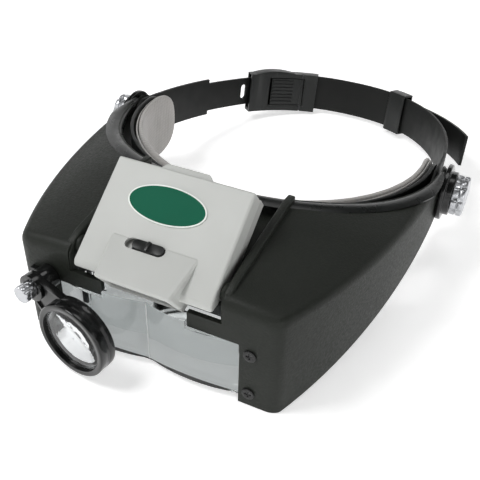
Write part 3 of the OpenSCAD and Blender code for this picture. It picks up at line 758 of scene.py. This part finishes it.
def wedge_rows(inset):
    """The raised cover over the switch and the lamps, which tapers to the front."""
    back, front = WEDGE_BACK - inset / 6, WEDGE_BACK - WEDGE_LONG + inset
    rise = WEDGE_RISE - inset * 0.3
    stations = ((back, 20.3, BOX_TOP - inset * 1.04, 1.8),
                (-3.0 - inset, 18.6, 8.3 - inset, -6.4 + inset),
                (front, 17.2, BOX_TOP + rise - inset, -6.4 + inset))
    rows = []
    for y, half, top, low in stations:
        half -= inset
        rows.append([(-half, y, low), (half, y, low), (half, y, top), (-half, y, top)])
    return rows


def on_wedge(x, down, height):
    """A point in the lamp's frame, by how far it is down the raised cover's slope and above it."""
    c, s = math.cos(WEDGE_SLOPE), math.sin(WEDGE_SLOPE)
    return x, WEDGE_BACK - down * c + height * s, BOX_TOP + down * s + height * c


def lamp_cover(material):
    """The lamp's upper case: a rounded box with the wedge-shaped cover joined to its front."""
    outside = [(40, -8.2), (4, -8.2), (0, -4), (-6, -1), (-9.4, 1.5), (-9.6, 3.4), (-7.6, 5), (40, 5)]
    inside = [(38.7, -6.9), (4.6, -6.9), (0.9, -2.9), (-5.5, 0.3), (-8.2, 2.2), (-8.2, 3.7), (38.7, 3.7)]
    cover = lamp_solid("lamp_cover", box_rows(outside, 31.5), 1.7)
    wedge = lamp_solid("wedge", wedge_rows(0.0), 1.3)
    combine(cover, "UNION", wedge)
    slot_rows = [[on_wedge(x, down, height) for x, down in rounded_box(-12.5, 5.6, 0.2, 5.2, 2.45, 6)]
                 for height in (-4.0, 4.0)]
    cutters = [
        lamp_solid("inside", box_rows(inside, 30.2), 0),
        lamp_solid("wedge_inside", wedge_rows(BOX_WALL), 0),
        lamp_solid("below", box_rows([(-20, -30), (60, -30), (60, -3), (-20, -3)], 40), 0),
        lamp_solid("mouth", box_rows([(-14, -5), (-9, -5), (-9, 8.9), (-14, 8.9)], 15.6), 0),
        lamp_solid("door_way", box_rows([(38.6, -9), (44, -9), (44, 3.75), (38.6, 3.75)], 30), 0),
        lamp_solid("slot", slot_rows, 0),
    ]
    combine(cover, "DIFFERENCE", *cutters)
    even_shading(cover)
    return settle(cover, "lamp", "lamp_grey", material, "lamp_upper_case")


def oval_ring(name, cx, cy, a, b, z, width, height, material, slot):
    rows = []
    for i in range(64):
        turn = 2 * math.pi * i / 64
        c, s = math.cos(turn), math.sin(turn)
        rows.append([in_lamp(cx + (a + u) * c, cy + (b + u) * s, z + v)
                     for u, v in ((0, 0), (0, height), (-width, height), (-width, 0))])
    rows.append(rows[0])
    bm = bmesh.new()
    add_loft(bm, rows, caps=False)
    bmesh.ops.remove_doubles(bm, verts=bm.verts, dist=1e-7)
    return settle(new_piece(name, bm), "lamp", slot, material)


def label_border(material):
    """Pale raised rim round the label."""
    oval_ring("label_border", cx=-1.8, cy=24.7, a=17.8, b=8.2, z=BOX_TOP - 0.1, width=0.55, height=0.62,
              material=material, slot="lamp_grey")


def switch_recess(material):
    """Pale floor under the end of the slot that the slider leaves open."""
    section = ((-0.1, -3.0), (5.5, -3.0), (5.5, -2.45), (-0.1, -2.45))
    rows = [[in_lamp(*on_wedge(x, down, height)) for down, height in section] for x in (-13.2, -9.7)]
    bm = bmesh.new()
    add_loft(bm, rows)
    return settle(bevel(new_piece("switch_recess", bm), 0.1), "lamp", "lamp_grey", material)


def lens_seam(material):
    """Frosted joint where the two halves of the lens meet."""
    low, high = (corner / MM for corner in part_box("main_lens"))
    bm = bmesh.new()
    half, back, front = 0.35, -136.2, -136.75
    prism(bm, [(-half, back), (half, back), (0.0, front)], low.z + 1.7, high.z - 0.3, upright)
    return settle(new_piece("lens_seam", bm), "visor", "clear", material)


# ---- build ----

def build():
    visor_black = pebbled("visor_black", (0.0135, 0.0155, 0.0125), 0.48)
    satin_black = moulded("satin_black", (0.0075, 0.0085, 0.008), 0.38, grain=(3000, 0.10))
    strap_black = moulded("strap_black", (0.008, 0.0085, 0.008), 0.50, grain=(1800, 0.14), specular=0.2)
    gloss_black = moulded("gloss_black", (0.005, 0.0053, 0.0053), 0.20, grain=(2200, 0.04), coat=0.3)
    lip_black = moulded("lip_black", (0.007, 0.008, 0.0075), 0.30, grain=(2400, 0.08))
    lamp_grey = moulded("lamp_grey", (0.50, 0.51, 0.49), 0.46, grain=(3200, 0.06), spread=0.02,
                        wear=0.10, shade=1.04, waves=0.01)
    # the lower case takes a darker copy of the lamp grey: painted shade on its sides
    lamp_grey_painted_shade = moulded("lamp_grey_painted_shade", (0.42, 0.425, 0.41), 0.50, grain=(3200, 0.06), spread=0.02,
                        wear=0.10, shade=1.04, waves=0.01)
    pale = moulded("pale_border", (0.62, 0.66, 0.62), 0.35, grain=(3000, 0.05))
    green = moulded("label_green", (0.006, 0.100, 0.056), 0.50, grain=(2600, 0.05), spread=0.02,
                    wear=0.0, shade=1.08, waves=0.01, specular=0.06)
    chrome = plated("chrome", (0.56, 0.57, 0.59), 0.30)
    steel = plated("steel", (0.62, 0.63, 0.65), 0.26, brushed=0.5)
    mirror = plated("reflector", (0.90, 0.90, 0.92), 0.08)
    # its grey tint is partly the acrylic's own colour and partly painted shade that darkens what shows
    # through the main lens
    acrylic = clear("acrylic_with_painted_shade", (0.60, 0.63, 0.63), ior=1.4)
    thin_acrylic = clear("inner_acrylic", (0.93, 0.95, 0.95), ior=1.12)
    lens_glass = clear("loupe_glass", (0.96, 0.98, 0.99), 0.015)
    pad_cloth = cloth("pad_cloth", (0.40, 0.385, 0.37), 0.0009)
    pad_foam = cloth("pad_foam", (0.47, 0.46, 0.44), 0.0006)

    visor_shell(visor_black)
    lamp_bay(visor_black)
    inner_lens_ears(visor_black)
    brow_lip(lip_black)
    brow_pad(pad_cloth, pad_foam)

    softened("brow_band", "headband", "band_black", satin_black, 0.5)
    softened("strap_left", "headband", "strap_black", strap_black, 0.45)
    softened("strap_right", "headband", "strap_black", strap_black, 0.45)
    softened("buckle_body", "headband", "buckle_black", satin_black, 0.7)
    softened("buckle_lever", "lever", "buckle_black", satin_black, 0.25)
    softened("strap_keeper", "keeper", "buckle_black", satin_black, 0.6)
    softened("temple_washers", "headband", "washer_black", gloss_black, 0.5)
    lamp_cover(lamp_grey)
    softened("lamp_lower_case", "lamp", "lamp_grey", lamp_grey_painted_shade, 0.4)
    softened("battery_door", "door", "lamp_grey", lamp_grey, 0.4)
    softened("loupe_arm", "loupe", "washer_black", gloss_black, 0.35)
    loupe_ring(gloss_black)
    softened("loupe_bracket", "visor", "visor_black", gloss_black, 0.4)
    softened("switch_slider", "slider", "slider_black", satin_black, 0.3)
    softened("inner_lens_carrier", "flip_lens", "band_black", satin_black, 0.3)
    screw_black = moulded("screw_black", (0.012, 0.012, 0.012), 0.3)
    softened("lens_screws", "visor", "screw_black", screw_black, 0.12)

    for side, name in ((-1, "temple_knob_left"), (1, "temple_knob_right")):
        low, high = (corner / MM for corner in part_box(name))
        inner = low.x if side > 0 else high.x
        lathe_knob(name + "_turned", TEMPLE_KNOB_R, high.x - low.x, TEMPLE_FLUTES,
                   Vector((inner, 0, PIVOT_Z)), Vector((side, 0, 0)), chrome,
                   name.replace("temple_", ""), "chrome", name)
    low, high = (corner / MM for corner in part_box("loupe_knob"))
    lathe_knob("loupe_knob_turned", (high.z - low.z) / 2, LOUPE_KNOB_DEPTH, LOUPE_FLUTES,
               LOUPE_PIVOT + LOUPE_AXIS * LOUPE_KNOB_AT, LOUPE_AXIS, chrome, "loupe_clamp", "chrome",
               "loupe_knob")
    label_border(pale)
    switch_recess(lamp_grey)
    lens_seam(clear("frosted_acrylic", (0.85, 0.87, 0.87), 0.40, passes=0.3))

    paint("main_lens", acrylic)
    paint("inner_lens", thin_acrylic)
    paint("loupe_lens", lens_glass)
    paint("lamp_window", acrylic)
    paint("loupe_retainer", gloss_black)
    paint("label_plate", green)
    paint("lamp_reflector", mirror)
    paint("lamp_hinge_pins", chrome)
    paint("lamp_leds", moulded("led_epoxy", (0.85, 0.86, 0.80), 0.12, coat=0.6))
    paint("aaa_cells", moulded("cell_jacket", (0.05, 0.14, 0.30), 0.3, coat=0.5))
    paint("circuit_board", moulded("solder_mask", (0.02, 0.12, 0.05), 0.35))
    paint("switch_body", moulded("switch_body", (0.20, 0.21, 0.22), 0.5))
    paint("buckle_pin", plated("dark_steel", (0.06, 0.06, 0.063), 0.40, brushed=0.3))
    for node in ("temple_bolts", "loupe_bolt", "loupe_washer", "battery_springs",
                 "battery_plates", "case_screws"):
        paint(node, steel)


studio()
build()
